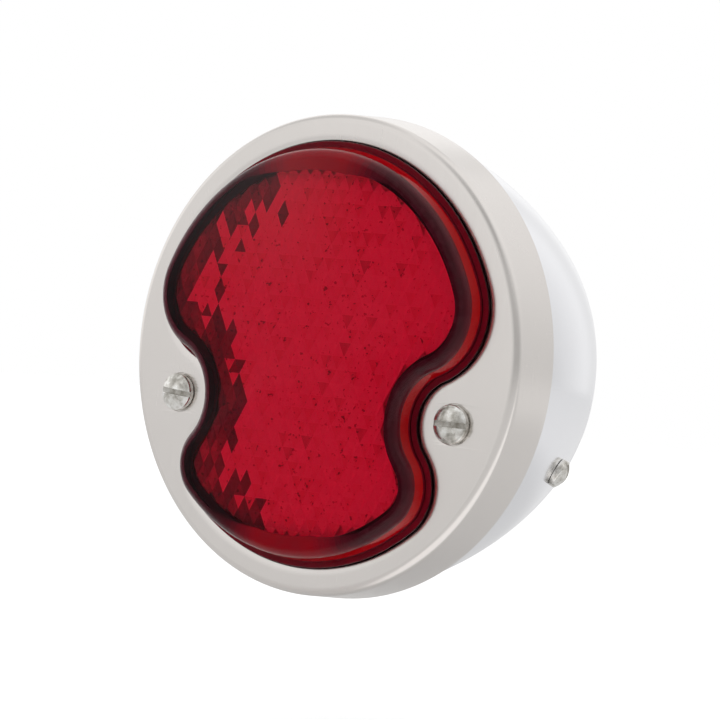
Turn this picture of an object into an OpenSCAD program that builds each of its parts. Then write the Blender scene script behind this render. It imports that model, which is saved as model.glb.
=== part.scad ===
// Round bowl tail light with a two-lobed red lens, held in a screwed bezel ring.
// Millimetres. The lamp's axis is Y: the lens faces -Y and the flat back lies on y = 0.
// Z is up. The origin is the middle of the stud circle on the mounting face.
// Depths called s below are counted backwards from the bezel's front face.

/* [Overall] */
// Depth from the bezel's face to the mounting face
bowl_depth = 56.5; // [50:0.5:75]
// Diameter over the bezel's rear edge
rim_d = 108; // [104:0.5:116]

/* [Bezel] */
// Depth of the bezel's barrel
bezel_depth = 12.3; // [9.5:0.1:16]
// Sheet thickness of the bezel
bezel_wall = 1.0; // [0.8:0.1:1.4]
// Growth in radius from the shoulder to the rear edge
bezel_flare = 0.8; // [0.2:0.1:1.6]
// Rounding between the face and the barrel
shoulder_r = 2.0; // [1.6:0.1:3.5]
// Radial clearance between the bezel and the bowl's collar
bezel_fit = 0.1; // [0.05:0.05:0.3]

/* [Lens opening] */
// Width of the bezel from its rear edge's radius to the opening, at the top and bottom
border = 6.6; // [6:0.1:9]
// Radius of the two side notches, which run around the bezel screws
notch_r = 9.65; // [9:0.05:11]
// Distance of the notches' middles from the rear edge's radius, across the lamp
notch_edge = 14.8; // [13:0.1:17]
// Height of the notches' middles
notch_z = -12.4; // [-16:0.1:-8]
// Radius of the corners above the notches
upper_blend_r = 16.5; // [14:0.1:19]
// Radius of the corners below the notches
lower_blend_r = 12.05; // [10:0.05:14]

/* [Lens] */
// Gap between the opening's edge and the lens wall
lens_gap = 0.45; // [0.3:0.05:0.8]
// Height of the low step around the lens wall
lens_step_h = 0.6; // [0.5:0.1:1]
// Width of the low step
lens_step_w = 1.3; // [0.8:0.1:1.6]
// Height of the wall where the rounded rim begins
lens_wall_h = 3.4; // [2.6:0.1:4.4]
// Inward lean of the wall over its height
lens_draft = 0.75; // [0.3:0.05:1]
// Radius of the rounded rim
lens_rim_r = 2.6; // [1.8:0.1:3.4]
// Rise of the crowned front above the rim
lens_crown = 0.7; // [0.2:0.1:1.5]
// Thickness of the lens front
lens_wall = 3.0; // [2.4:0.1:3.6]
// Thickness of the lens flange behind the bezel
flange_t = 2.5; // [2:0.1:3]
// Reach of the flange beyond the opening's edge
flange_w = 3.0; // [2.2:0.1:3.2]

/* [Seat] */
// Thickness of the rubber gasket
gasket_t = 1.5; // [1:0.1:2]
// Distance of the gasket's inner edge inside the opening's edge
gasket_in = 0.8; // [0.4:0.1:1.4]
// Thickness of the seat plate
seat_t = 1.0; // [0.8:0.1:1.2]
// Distance of the seat plate's window inside the opening's edge
seat_in = 1.5; // [1.2:0.1:2]
// Depth of the seat plate's rim along the bowl
seat_skirt = 4.5; // [3:0.1:6]

/* [Bowl] */
// Sheet thickness of the bowl
bowl_wall = 1.0; // [0.8:0.1:1.3]
// Radius of the long curve of the bowl's side
side_r = 122; // [105:1:150]
// Angle of the side where it leaves the bezel
side_lean = 7.3; // [6:0.1:9]
// Radius of the corner between side and back
corner_r = 15; // [11:0.5:17]
// Overlap of the bowl's collar inside the bezel
collar_len = 8.3; // [5:0.1:8.5]

/* [Reflector] */
// Sheet thickness of the reflector pan
pan_wall = 0.6; // [0.5:0.1:0.8]
// Gap between the pan's skirt and the bowl
pan_gap = 0.3; // [0.2:0.05:0.5]
// Depth at which the pan's skirt begins
pan_front = 15; // [14:0.5:18]
// Radius of the pan's spherical dish
dish_r = 92; // [86:0.5:100]
// Distance of the dish's middle in front of the mounting face
dish_back = 5.7; // [5:0.1:7]

/* [Bezel screws] */
// Distance of the bezel screws inwards from the notches' middles
screw_in = 0.9; // [0:0.1:1.5]
// Height of the bezel screws above the notches' middles
screw_up = 0.5; // [0:0.1:1]
// Diameter of the bezel screws' heads
head_d = 8.5; // [8:0.1:9.2]
// Side height of the bezel screws' heads
head_side = 1.9; // [1.5:0.1:2.2]
// Rise of the heads' domes
head_dome = 1.2; // [0.9:0.1:1.6]
// Diameter of the screws' shanks and of the studs
shank_d = 4.8; // [4:0.1:5]
// Length of the bezel screws under the head
bezel_screw_len = 12; // [10.8:0.1:13]
// Radial gap between a head and its recess
recess_gap = 0.2; // [0.1:0.05:0.5]
// Depth of the recess under the bezel's face
recess_s = 0.5; // [0.3:0.1:0.8]
// Thickness under the recess
recess_floor = 1.2; // [1:0.1:1.5]
// Wall around the recess
recess_wall = 0.7; // [0.5:0.1:0.9]
// Width of the driver slots
slot_w = 1.2; // [1:0.1:1.5]
// Depth of the driver slots
slot_d = 1.4; // [1:0.1:1.8]
// Tilt of the right screw's slot
slot_tilt_right = 0; // [-45:1:45]
// Tilt of the left screw's slot
slot_tilt_left = -4; // [-45:1:45]
// Width across flats of the captive nuts
nut_af = 9.5; // [8.5:0.1:10]
// Thickness of the captive nuts
nut_t = 3.2; // [2.4:0.1:3.5]
// Gap between threads
thread_fit = 0.05; // [0.02:0.01:0.1]
// Radial gap around shanks in sheet holes
hole_fit = 0.3; // [0.2:0.05:0.5]

/* [Side screws] */
// Distance of the side screws in front of the mounting face
side_back = 21.9; // [20:0.1:25]
// Angle of the side screws below the level
side_angle = 25.7; // [10:0.1:40]
// Diameter of the side screws' heads
side_head_d = 6.6; // [6:0.1:8]
// Side height of the side screws' heads
side_head_side = 1.2; // [1:0.1:1.6]
// Rise of their domes
side_head_dome = 1.4; // [1.1:0.1:2]
// Diameter of their shanks
side_shank_d = 3.5; // [3:0.1:3.9]
// Length of their shanks
side_screw_len = 6; // [5.5:0.1:8]
// Width of the side nuts
side_nut_af = 6.4; // [6:0.1:7]
// Thickness of the side nuts
side_nut_t = 2.4; // [2:0.1:2.8]
// Width of their driver slots
side_slot_w = 0.9; // [0.7:0.1:1.2]
// Depth of their driver slots
side_slot_d = 1.0; // [0.8:0.1:1.4]
// Turn of their driver slots about the screw
side_slot_turn = 5; // [0:1:180]

/* [Mounting studs] */
// Distance between the two studs
stud_pitch = 44.4; // [42:0.1:46]
// Length of the studs behind the mounting face
stud_len = 20; // [15:0.5:30]
// Diameter of the studs' round heads inside the bowl
stud_head_d = 10; // [9:0.1:11]
// Thickness of those heads
stud_head_t = 1.8; // [1.2:0.1:2.4]
// Diameter of the plain collar that fills the hole in the bowl
stud_collar_d = 6; // [5.6:0.1:7]

/* [Socket] */
// Radial gap between the bulb's base and the socket's bore
base_fit = 0.1; // [0.05:0.01:0.1]
// Wall of the socket
socket_wall = 1.3; // [1.2:0.1:1.6]
// Length of the socket in front of the mounting face
socket_front = 8.5; // [7:0.1:9]
// Length of the socket behind the mounting face
socket_back = 18; // [17.5:0.1:22]
// Diameter of the socket's flange inside the bowl
socket_flange_d = 28; // [24:0.5:32]
// Thickness of the socket's flange
socket_flange_t = 1.0; // [0.8:0.1:1.4]
// Thickness of the crimped rear lip
lip_t = 0.5; // [0.4:0.1:0.8]
// Angle between the entry slot and the detent
j_turn = 26; // [24:1:30]
// Depth of the detent's lip
j_detent = 1.4; // [1:0.1:1.6]
// Width of the slots beyond the pin's diameter
j_fit = 0.4; // [0.2:0.1:0.6]
// Travel of the bulb when it is pushed in
push = 2.0; // [1.5:0.1:2.2]
// Thickness of the rear insulator
insulator_t = 1.5; // [1.2:0.1:2]
// Diameter of its two wire holes
wire_hole_d = 2.4; // [2:0.1:2.8]

/* [Contacts and spring] */
// Thickness of the contact plate
plate_t = 1.6; // [1.3:0.1:2]
// Radial gap of the contact plate in the socket
plate_fit = 0.1; // [0.05:0.01:0.15]
// Distance of each contact from the middle
contact_x = 3.6; // [3.4:0.1:3.9]
// Diameter of the contacts
contact_d = 3.2; // [2.6:0.1:3.4]
// Diameter of the spring's wire
spring_wire = 0.6; // [0.5:0.05:0.8]
// Middle radius of the spring
spring_r = 6.3; // [6:0.1:6.6]
// Turns of the spring
spring_turns = 3; // [2:1:4]

/* [Bulb] */
// Diameter of the bulb's base
base_d = 15.0; // [14.6:0.1:15.4]
// Length of the base
base_len = 18.5; // [17:0.1:19]
// Sheet thickness of the base
base_wall = 0.4; // [0.3:0.05:0.45]
// Diameter of the glass globe
globe_d = 26.5; // [24:0.1:27]
// Distance from the base's front edge to the globe's middle
globe_reach = 18.5; // [17:0.1:21]
// Thickness of the glass
glass_t = 0.6; // [0.5:0.05:0.8]
// Radial gap between the glass neck and the base's sheet
neck_fit = 0.15; // [0.1:0.05:0.3]
// Diameter of the bayonet pins
pin_d = 2.0; // [1.8:0.1:2.2]
// Reach of each pin beyond the base
pin_reach = 1.15; // [0.9:0.05:1.2]
// Height of the pins above the base's bottom
pin_up = 6.0; // [5.5:0.1:6.5]
// Thickness of the base's insulator
bottom_t = 1.8; // [1.4:0.1:2.2]
// Height of the solder contacts
solder_h = 1.0; // [0.7:0.1:1.2]
// Diameter of the glass stem
stem_d = 6; // [5:0.1:7]
// Length of the stem's straight part
stem_len = 9; // [7:0.1:10]
// Diameter of the support wires
support_d = 0.7; // [0.5:0.05:0.8]
// Spacing of the support wires along X
support_x = 3.6; // [3:0.1:4]
// Spacing of the support wires along Z
support_z = 3.2; // [2.6:0.1:4]
// Length of the support wires in front of the stem
support_len = 11; // [9:0.1:12]
// Diameter of the coiled filaments
filament_d = 0.5; // [0.4:0.05:0.7]

/* [Hidden] */
$fn = 96;
eps = 0.01;
face_y = -bowl_depth;
rim_r = rim_d / 2;
opening_r = rim_r - border;
barrel_r = rim_r - bezel_flare;
shoulder_c = barrel_r - shoulder_r;

// lens stack, front to back
flange_s = bezel_wall;
gasket_s = flange_s + flange_t;
seat_s = gasket_s + gasket_t;
nut_s = seat_s + seat_t;

// bowl
collar_r = rim_r - bezel_wall - bezel_fit;
collar_s = bezel_depth - collar_len;
collar_r0 = collar_r - bezel_flare * collar_len / (bezel_depth - shoulder_r);
side_c = [collar_r - side_r * cos(side_lean), bezel_depth - side_r * sin(side_lean)];
corner_s = bowl_depth - corner_r;
corner_up = corner_s - side_c[1];
corner_x = side_c[0] + sqrt(pow(side_r - corner_r, 2) - corner_up * corner_up);
corner_a = asin(corner_up / (side_r - corner_r));

// screws and studs
screw = [rim_r - notch_edge - screw_in, notch_z + screw_up];
shank_r = shank_d / 2;
recess_r = head_d / 2 + recess_gap;
side_s = bowl_depth - side_back;
side_r0 = side_c[0] + sqrt(side_r * side_r - pow(side_s - side_c[1], 2));
side_tilt = asin((side_s - side_c[1]) / side_r);

// socket and bulb, as depths behind the bezel's face
socket_r = base_d / 2 + base_fit;
neck_d = base_d - 2 * (base_wall + neck_fit);
socket_out = socket_r + socket_wall;
mouth_s = bowl_depth - socket_front;
socket_end = bowl_depth + socket_back;
insulator_s = socket_end - lip_t - insulator_t;
spring_len = 4.9;
plate_s = insulator_s - spring_len - plate_t;
base_end = plate_s - solder_h;
base_front = base_end - base_len;
pin_s = base_end - pin_up;
globe_s = base_front - globe_reach;
stem_s = base_front - stem_len + 2;
wire_tip_s = stem_s - support_len;

// ---- outline of the lens opening, as tangent arcs ----
notch = [rim_r - notch_edge, notch_z];
function dir(a) = [cos(a), sin(a)];
function angle_of(v) = atan2(v[1], v[0]);
// polar offset of a corner arc that touches the main circle from inside and the notch from outside
function blend_turn(r) =
    let (a = opening_r - r, b = notch_r + r, d = norm(notch))
    acos((a * a + d * d - b * b) / (2 * a * d));
upper_a = angle_of(notch) + blend_turn(upper_blend_r);
lower_a = angle_of(notch) - blend_turn(lower_blend_r);
upper_c = (opening_r - upper_blend_r) * dir(upper_a);
lower_c = (opening_r - lower_blend_r) * dir(lower_a);

// points of an arc without its last one
function arc(c, r, a0, a1, n) = [for (i = [0:n - 1]) c + r * dir(a0 + (a1 - a0) * i / n)];
// right half of the outline, moved inwards by d, from the bottom to the top
function right_half(d) = concat(
    arc([0, 0], opening_r - d, -90, lower_a, 10),
    arc(lower_c, lower_blend_r - d, lower_a, angle_of(notch - lower_c), 7),
    arc(notch, notch_r + d, angle_of(lower_c - notch) + 360, angle_of(upper_c - notch), 9),
    arc(upper_c, upper_blend_r - d, angle_of(notch - upper_c), upper_a, 8),
    arc([0, 0], opening_r - d, upper_a, 90, 15),
    [[0, opening_r - d]]);
function outline(d) =
    let (h = right_half(d), n = len(h) - 1)
    concat(h, [for (i = [n - 1:-1:1]) [-h[i][0], h[i][1]]]);

module lobes(d) {
    polygon(outline(d));
}

// ---- placing helpers ----
// a section of radius and depth, turned about the lamp's axis
module turned() {
    translate([0, face_y, 0]) rotate([-90, 0, 0]) rotate_extrude() children();
}
// an outline in X and Z, filled from depth s0 to s1
module slab(s0, s1) {
    translate([0, face_y + s1, 0]) rotate([90, 0, 0]) linear_extrude(s1 - s0) children();
}
// a round bar from depth s0 to s1 at (x, z)
module bar(x, z, r, s0, s1) {
    translate([x, face_y + s0, z]) rotate([-90, 0, 0]) cylinder(r = r, h = s1 - s0);
}
// a closed skin through equal rings, with a pole at each end
module loft(rings, first, last) {
    n = len(rings[0]);
    k = len(rings);
    pts = concat([first], [for (r = rings) each r], [last]);
    faces = concat(
        [for (i = [0:n - 1]) [0, 1 + i, 1 + (i + 1) % n]],
        [for (j = [0:k - 2]) for (i = [0:n - 1])
            let (a = 1 + j * n + i, b = 1 + j * n + (i + 1) % n) each [[a, a + n, b], [b, a + n, b + n]]],
        [for (i = [0:n - 1]) [1 + k * n, 1 + (k - 1) * n + (i + 1) % n, 1 + (k - 1) * n + i]]);
    polyhedron(pts, faces, convexity = 6);
}

// ---- bowl, seat and reflector ----
// section of the bowl behind depth s0, moved inwards by e
module bowl_section(e, s0) {
    intersection() {
        translate(side_c) circle(side_r - e, $fn = 360);
        polygon([[0, s0], [rim_r, s0], side_c + 1.2 * side_r * dir(corner_a),
            [corner_x, corner_s], [0, corner_s]]);
    }
    translate([corner_x, corner_s]) circle(corner_r - e);
    translate([0, s0]) square([corner_x, bowl_depth - e - s0]);
}
module housing() {
    color([0.86, 0.86, 0.88])
    difference() {
        turned() difference() {
            union() {
                bowl_section(0, bezel_depth);
                polygon([[0, collar_s], [collar_r0, collar_s], [collar_r, bezel_depth],
                    [0, bezel_depth]]);
            }
            bowl_section(bowl_wall, bezel_depth);
            polygon([[0, collar_s - 1], [collar_r0 - bowl_wall, collar_s - 1],
                [collar_r0 - bowl_wall, collar_s], [collar_r - bowl_wall, bezel_depth],
                [0, bezel_depth + eps]]);
        }
        bar(0, 0, socket_out + bezel_fit, corner_s, bowl_depth + 1);
        for (m = [1, -1])
            bar(m * stud_pitch / 2, 0, stud_collar_d / 2 + bezel_fit, corner_s, bowl_depth + 1);
        at_side_screws() translate([0, 0, -4]) cylinder(d = side_shank_d + 2 * hole_fit, h = 6);
    }
}
// welded ring that carries the gasket, with the same lobed window as the bezel
module seat_plate() {
    r = collar_r0 - bowl_wall - 0.05;
    color([0.72, 0.72, 0.74])
    difference() {
        union() {
            slab(seat_s, nut_s) difference() {
                circle(r);
                lobes(seat_in);
                for (m = [1, -1])
                    translate([m * screw[0], screw[1]]) circle(shank_r + hole_fit);
            }
            turned() translate([r - seat_t, seat_s]) square([seat_t, seat_skirt]);
        }
    }
}
module reflector() {
    dish_c = bowl_depth - dish_back - dish_r;
    outer_e = bowl_wall + pan_gap;
    color([0.8, 0.8, 0.8])
    difference() {
        turned() difference() {
            intersection() {
                bowl_section(outer_e, pan_front);
                translate([0, dish_c]) circle(dish_r, $fn = 240);
            }
            intersection() {
                bowl_section(outer_e + pan_wall, pan_front - 1);
                translate([0, dish_c]) circle(dish_r - pan_wall, $fn = 240);
            }
            square([socket_out + 2 * pan_gap, bowl_depth]);
        }
        at_side_screws() translate([0, 0, -5]) cylinder(d = side_shank_d + 2 * hole_fit, h = 6);
    }
}

// ---- bezel ----
module bezel_section(e) {
    polygon([[0, e], [shoulder_c, e], [shoulder_c, shoulder_r], [barrel_r - e, shoulder_r],
        [rim_r - e, bezel_depth + (e > 0 ? eps : 0)], [0, bezel_depth + (e > 0 ? eps : 0)]]);
    translate([shoulder_c, shoulder_r]) circle(shoulder_r - e);
}
module bezel() {
    color([0.82, 0.8, 0.78])
    difference() {
        union() {
            turned() difference() {
                bezel_section(0);
                bezel_section(bezel_wall);
            }
            for (m = [1, -1])
                bar(m * screw[0], screw[1], recess_r + recess_wall, bezel_wall / 2,
                    recess_s + recess_floor);
        }
        slab(-1, bezel_wall + eps) lobes(0);
        for (m = [1, -1]) {
            bar(m * screw[0], screw[1], recess_r, -1, recess_s);
            bar(m * screw[0], screw[1], shank_r + hole_fit, 0, recess_s + recess_floor + 1);
        }
    }
}

// ---- lens and gasket ----
// ring of the lens at inset d, depth s, drawn in towards the middle by k
function lens_ring(d, s, k = 1) = [for (p = outline(d)) [k * p[0], face_y + s, k * p[1]]];
rim_in = lens_gap + lens_step_w + lens_draft;
front_h = lens_wall_h + lens_rim_r;
cavity_in = rim_in + lens_wall;
module lens() {
    step_in = lens_gap + lens_step_w;
    cavity_s = lens_wall - front_h;
    inner = [for (k = [0.35, 0.7, 1])
        lens_ring(cavity_in, cavity_s - lens_crown * (1 - k * k), k)];
    flange = [lens_ring(cavity_in, gasket_s), lens_ring(-flange_w, gasket_s),
        lens_ring(-flange_w, flange_s), lens_ring(lens_gap, flange_s)];
    wall = [lens_ring(lens_gap, 0.3 - lens_step_h), lens_ring(lens_gap + 0.3, -lens_step_h),
        lens_ring(step_in - 0.15, -lens_step_h), lens_ring(step_in, -lens_step_h - 0.15)];
    rim = [for (a = [0:15:90])
        lens_ring(rim_in + lens_rim_r * (1 - cos(a)), -lens_wall_h - lens_rim_r * sin(a))];
    crown = [for (k = [0.85, 0.6, 0.3])
        lens_ring(rim_in + lens_rim_r, -front_h - lens_crown * (1 - k * k), k)];
    color([0.75, 0.05, 0.1])
    loft(concat(inner, flange, wall, rim, crown),
        [0, face_y + cavity_s - lens_crown, 0], [0, face_y - front_h - lens_crown, 0]);
}
module lens_gasket() {
    color([0.12, 0.12, 0.12])
    slab(gasket_s, seat_s) difference() {
        lobes(-flange_w);
        lobes(gasket_in);
    }
}

// ---- screws, nuts and studs ----
// slotted round-head screw, its head's seat on z = 0 and its shank below
module slotted_screw(d, side, dome, shank, length, w, deep, turn) {
    sphere_r = (d * d / 4 + dome * dome) / (2 * dome);
    difference() {
        rotate_extrude() {
            intersection() {
                translate([0, side + dome - sphere_r]) circle(sphere_r);
                square([d / 2, side + dome]);
            }
            translate([0, -length]) square([shank / 2, length + eps]);
        }
        rotate([0, 0, turn]) translate([-d, -w / 2, side + dome - deep]) cube([2 * d, w, deep + 1]);
    }
}
module hex_nut(af, t, bore) {
    difference() {
        cylinder(d = af / cos(30), h = t, $fn = 6);
        translate([0, 0, -1]) cylinder(d = bore, h = t + 2);
    }
}
module bezel_screws() {
    color([0.78, 0.76, 0.72])
    for (m = [1, -1])
        translate([m * screw[0], face_y + recess_s, screw[1]]) rotate([90, 0, 0])
            slotted_screw(head_d, head_side, head_dome, shank_d, bezel_screw_len, slot_w, slot_d,
                m > 0 ? slot_tilt_right : slot_tilt_left);
}
module bezel_nuts() {
    color([0.7, 0.7, 0.68])
    for (m = [1, -1])
        translate([m * screw[0], face_y + nut_s + nut_t, screw[1]]) rotate([90, 0, 0])
            hex_nut(nut_af, nut_t, shank_d + 2 * thread_fit);
}
// places its children on the bowl's side, z outwards along the surface's normal
module at_side_screws() {
    for (m = [1, -1])
        rotate([0, m > 0 ? side_angle : 180 - side_angle, 0])
            translate([side_r0, face_y + side_s, 0]) rotate([0, 0, side_tilt]) rotate([0, 90, 0])
                children();
}
module side_screws() {
    color([0.7, 0.68, 0.64])
    at_side_screws()
        slotted_screw(side_head_d, side_head_side, side_head_dome, side_shank_d, side_screw_len,
            side_slot_w, side_slot_d, side_slot_turn);
}
module side_nuts() {
    // the nut's corners just clear the pan's hollow side
    lift = side_nut_af * side_nut_af / 3 / (2 * (side_r0 - bowl_wall - pan_gap - pan_wall)) + 0.03;
    color([0.7, 0.7, 0.68])
    at_side_screws()
        translate([0, 0, -bowl_wall - pan_gap - pan_wall - lift - side_nut_t])
            hex_nut(side_nut_af, side_nut_t, side_shank_d + 2 * thread_fit);
}
module mounting_studs() {
    color([0.75, 0.75, 0.73])
    for (m = [1, -1]) {
        bar(m * stud_pitch / 2, 0, stud_head_d / 2, bowl_depth - bowl_wall - stud_head_t,
            bowl_depth - bowl_wall);
        bar(m * stud_pitch / 2, 0, stud_collar_d / 2, bowl_depth - bowl_wall - eps, bowl_depth);
        bar(m * stud_pitch / 2, 0, shank_r, bowl_depth - eps, bowl_depth + stud_len);
    }
}

// ---- bayonet socket ----
module socket_shell() {
    w = pin_d + j_fit;
    top = pin_s - pin_d / 2 - 0.05;
    leg = top + j_detent;
    low = pin_s + pin_d / 2 + push + 0.3;
    color([0.74, 0.72, 0.66])
    difference() {
        turned() {
            translate([socket_r, mouth_s]) square([socket_wall, socket_end - mouth_s]);
            translate([socket_r, bowl_depth - bowl_wall - socket_flange_t])
                square([socket_flange_d / 2 - socket_r, socket_flange_t]);
            translate([socket_r - lip_t, socket_end - lip_t]) square([lip_t + eps, lip_t]);
        }
        for (h = [0, 180]) rotate([0, h, 0]) {
            // detent that holds the pin
            translate([0, face_y + top, -w / 2]) cube([socket_out + 1, low - top, w]);
            // entry slot from the mouth
            rotate([0, j_turn, 0]) translate([0, face_y + mouth_s - 1, -w / 2])
                cube([socket_out + 1, low - mouth_s + 1, w]);
            // turning leg between the two
            translate([0, face_y + leg, 0]) rotate([-90, 0, 0])
                rotate_extrude(angle = j_turn) translate([socket_r - 0.5, 0])
                    square([socket_wall + 1.5, low - leg]);
        }
    }
}
module socket_insulator() {
    color([0.35, 0.2, 0.12])
    difference() {
        bar(0, 0, socket_r - 0.03, insulator_s, insulator_s + insulator_t);
        for (m = [1, -1])
            bar(m * contact_x, 0, wire_hole_d / 2, insulator_s - 1, insulator_s + insulator_t + 1);
    }
}
module contact_spring() {
    wire_r = spring_wire / 2;
    steps = 16 * spring_turns;
    rise = (spring_len - spring_wire) / steps;
    start = plate_s + plate_t + wire_r;
    rings = [for (i = [0:steps])
        let (a = 22.5 * i, c = spring_r * dir(a), y = face_y + start + rise * i)
        [for (j = [0:7]) let (q = wire_r * 0.98 * dir(45 * j))
            [c[0] + q[0] * cos(a), y + q[1], c[1] + q[0] * sin(a)]]];
    color([0.8, 0.78, 0.6])
    loft(rings, [spring_r, face_y + start, 0],
        [spring_r * cos(22.5 * steps), face_y + start + rise * steps, spring_r * sin(22.5 * steps)]);
}
module contact_plate() {
    color([0.45, 0.27, 0.15])
    difference() {
        bar(0, 0, socket_r - plate_fit, plate_s, plate_s + plate_t);
        for (m = [1, -1])
            bar(m * contact_x, 0, contact_d / 2, plate_s - 1, plate_s + plate_t + 1);
    }
}
module plate_contacts() {
    color([0.85, 0.65, 0.3])
    for (m = [1, -1])
        bar(m * contact_x, 0, contact_d / 2 - 0.005, plate_s, plate_s + plate_t + 0.4);
}

// ---- bulb ----
module bulb_base() {
    color([0.85, 0.68, 0.35])
    difference() {
        turned() translate([base_d / 2 - base_wall, base_front]) square([base_wall, base_len]);
        for (h = [0, 180]) rotate([0, h, 0])
            translate([0, face_y + pin_s, 0]) rotate([0, 90, 0]) cylinder(d = pin_d, h = base_d);
    }
}
module bulb_pins() {
    color([0.85, 0.68, 0.35])
    for (h = [0, 180]) rotate([0, h, 0])
        translate([base_d / 2 - base_wall - 0.4, face_y + pin_s, 0]) rotate([0, 90, 0])
            cylinder(d = pin_d - 0.01, h = base_wall + 0.4 + pin_reach);
}
module bulb_insulator() {
    color([0.1, 0.1, 0.12])
    bar(0, 0, base_d / 2 - base_wall - 0.01, base_end - bottom_t, base_end);
}
module bulb_contacts() {
    color([0.75, 0.75, 0.75])
    for (m = [1, -1]) bar(m * contact_x, 0, contact_d / 2 - 0.2, base_end, plate_s);
}
module glass_section(e) {
    neck_end = base_front + 2.5;
    neck_r = neck_d / 2 - e;
    r = globe_d / 2 - e;
    intersection() {
        translate([0, globe_s]) circle(r);
        translate([0, globe_s - r]) square([r, 2 * r]);
    }
    polygon([[0, globe_s], [r * cos(27), globe_s + r * sin(27)], [neck_r, base_front - 3],
        [neck_r, neck_end + (e > 0 ? eps : 0)], [0, neck_end + (e > 0 ? eps : 0)]]);
}
module bulb_glass() {
    color([0.9, 0.95, 1, 0.4])
    turned() difference() {
        glass_section(0);
        glass_section(glass_t);
    }
}
module bulb_stem() {
    end_s = base_front + 2.5;
    color([0.9, 0.95, 1, 0.6])
    turned() {
        translate([0, stem_s]) square([stem_d / 2, end_s - stem_s]);
        translate([0, end_s - 1]) square([neck_d / 2 - glass_t - 0.02, 1]);
    }
}
module support_wires() {
    color([0.6, 0.6, 0.62])
    for (x = [-1, 1]) for (z = [-1, 1])
        bar(x * support_x / 2, z * support_z / 2, support_d / 2, wire_tip_s, stem_s);
}
module filaments() {
    color([0.55, 0.55, 0.6])
    for (z = [-1, 1])
        translate([-(support_x - support_d) / 2, face_y + wire_tip_s + 0.5, z * support_z / 2])
            rotate([0, 90, 0]) cylinder(d = filament_d, h = support_x - support_d);
}

housing();
seat_plate();
reflector();
bezel();
lens();
lens_gasket();
bezel_screws();
bezel_nuts();
side_screws();
side_nuts();
mounting_studs();
socket_shell();
socket_insulator();
contact_spring();
contact_plate();
plate_contacts();
bulb_base();
bulb_pins();
bulb_insulator();
bulb_contacts();
bulb_glass();
bulb_stem();
support_wires();
filaments();
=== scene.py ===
import math
import random

import bmesh
import bpy
from mathutils import Matrix, Vector


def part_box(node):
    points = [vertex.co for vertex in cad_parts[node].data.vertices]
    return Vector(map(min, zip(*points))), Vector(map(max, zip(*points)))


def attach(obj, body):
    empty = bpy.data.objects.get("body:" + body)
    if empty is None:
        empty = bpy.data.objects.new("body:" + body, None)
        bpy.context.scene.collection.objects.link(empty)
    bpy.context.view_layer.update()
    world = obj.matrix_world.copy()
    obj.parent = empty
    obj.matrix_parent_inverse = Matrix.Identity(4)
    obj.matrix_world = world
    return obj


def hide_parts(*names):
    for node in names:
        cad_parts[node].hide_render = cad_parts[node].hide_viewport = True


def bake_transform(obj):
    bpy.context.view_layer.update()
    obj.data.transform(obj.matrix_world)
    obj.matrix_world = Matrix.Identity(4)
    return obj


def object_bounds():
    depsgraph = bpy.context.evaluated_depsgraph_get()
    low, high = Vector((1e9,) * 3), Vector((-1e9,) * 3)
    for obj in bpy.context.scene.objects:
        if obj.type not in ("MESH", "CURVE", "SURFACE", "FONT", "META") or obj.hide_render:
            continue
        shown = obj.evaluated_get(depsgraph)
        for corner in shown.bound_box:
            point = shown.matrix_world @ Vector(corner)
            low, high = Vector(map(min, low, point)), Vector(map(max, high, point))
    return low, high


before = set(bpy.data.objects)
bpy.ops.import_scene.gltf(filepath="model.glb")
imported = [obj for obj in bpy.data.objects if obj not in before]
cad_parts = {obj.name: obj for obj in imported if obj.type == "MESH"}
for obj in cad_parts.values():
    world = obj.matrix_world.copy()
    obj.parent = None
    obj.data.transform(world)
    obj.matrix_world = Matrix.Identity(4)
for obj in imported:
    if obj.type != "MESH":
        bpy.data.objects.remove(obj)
CAD_LOW, CAD_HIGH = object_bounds()

# Lengths below are in millimetres, as in part.scad, and MM turns them into metres. A depth s runs back from
# the bezel's face, and an outline's d runs inwards from the edge of the bezel's opening.
MM = 0.001
FACE_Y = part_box("bezel")[0].y

# ---------------------------------------------------------------- sizes
# bezel: radius at its foot and at its shoulder, the shoulder's rounding, depth and sheet
RIM_R, BARREL_R, SHOULDER_R = 54.0, 53.2, 2.0
BEZEL_DEPTH, BEZEL_WALL = 12.3, 1.0
# its opening: the circle, the notch round each screw, and the blends above and below the notch
OPENING_R, NOTCH_R = 47.4, 9.65
NOTCH = (39.2, -12.4)
SCREW = (38.3, -11.9)
UPPER_R, LOWER_R = 16.5, 12.05
# the sunk seats of its screws, and the room round a shank
RECESS_R, RECESS_S, RECESS_WALL, RECESS_SIDE = 4.45, 0.5, 1.2, 0.7
SHANK_GAP = 0.3
# lens: step, drafted wall, rounded rim, crowned face, its flange and where the gasket begins
LENS_GAP, STEP_W, STEP_H, DRAFT = 0.45, 1.3, 0.6, 0.75
WALL_H, RIM_ROUND, CROWN, LENS_T, LENS_SIDE_T = 3.4, 2.6, 0.7, 3.0, 3.9
FLANGE_S, GASKET_S, FLANGE_W = 1.0, 3.5, 3.0
RIM_IN = LENS_GAP + STEP_W + DRAFT
FRONT_H = WALL_H + RIM_ROUND
CAVITY_IN = RIM_IN + LENS_SIDE_T
CAVITY_S = LENS_T - FRONT_H
# bowl: depth, sheet, curved side, rear corner, and the collar inside the bezel
BOWL_DEPTH, BOWL_WALL = 56.5, 1.0
SIDE_R, SIDE_LEAN, CORNER_R, COLLAR_LEN, BEZEL_FIT = 122.0, 7.3, 15.0, 8.3, 0.1
SOCKET_HOLE_R = 9.0
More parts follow.
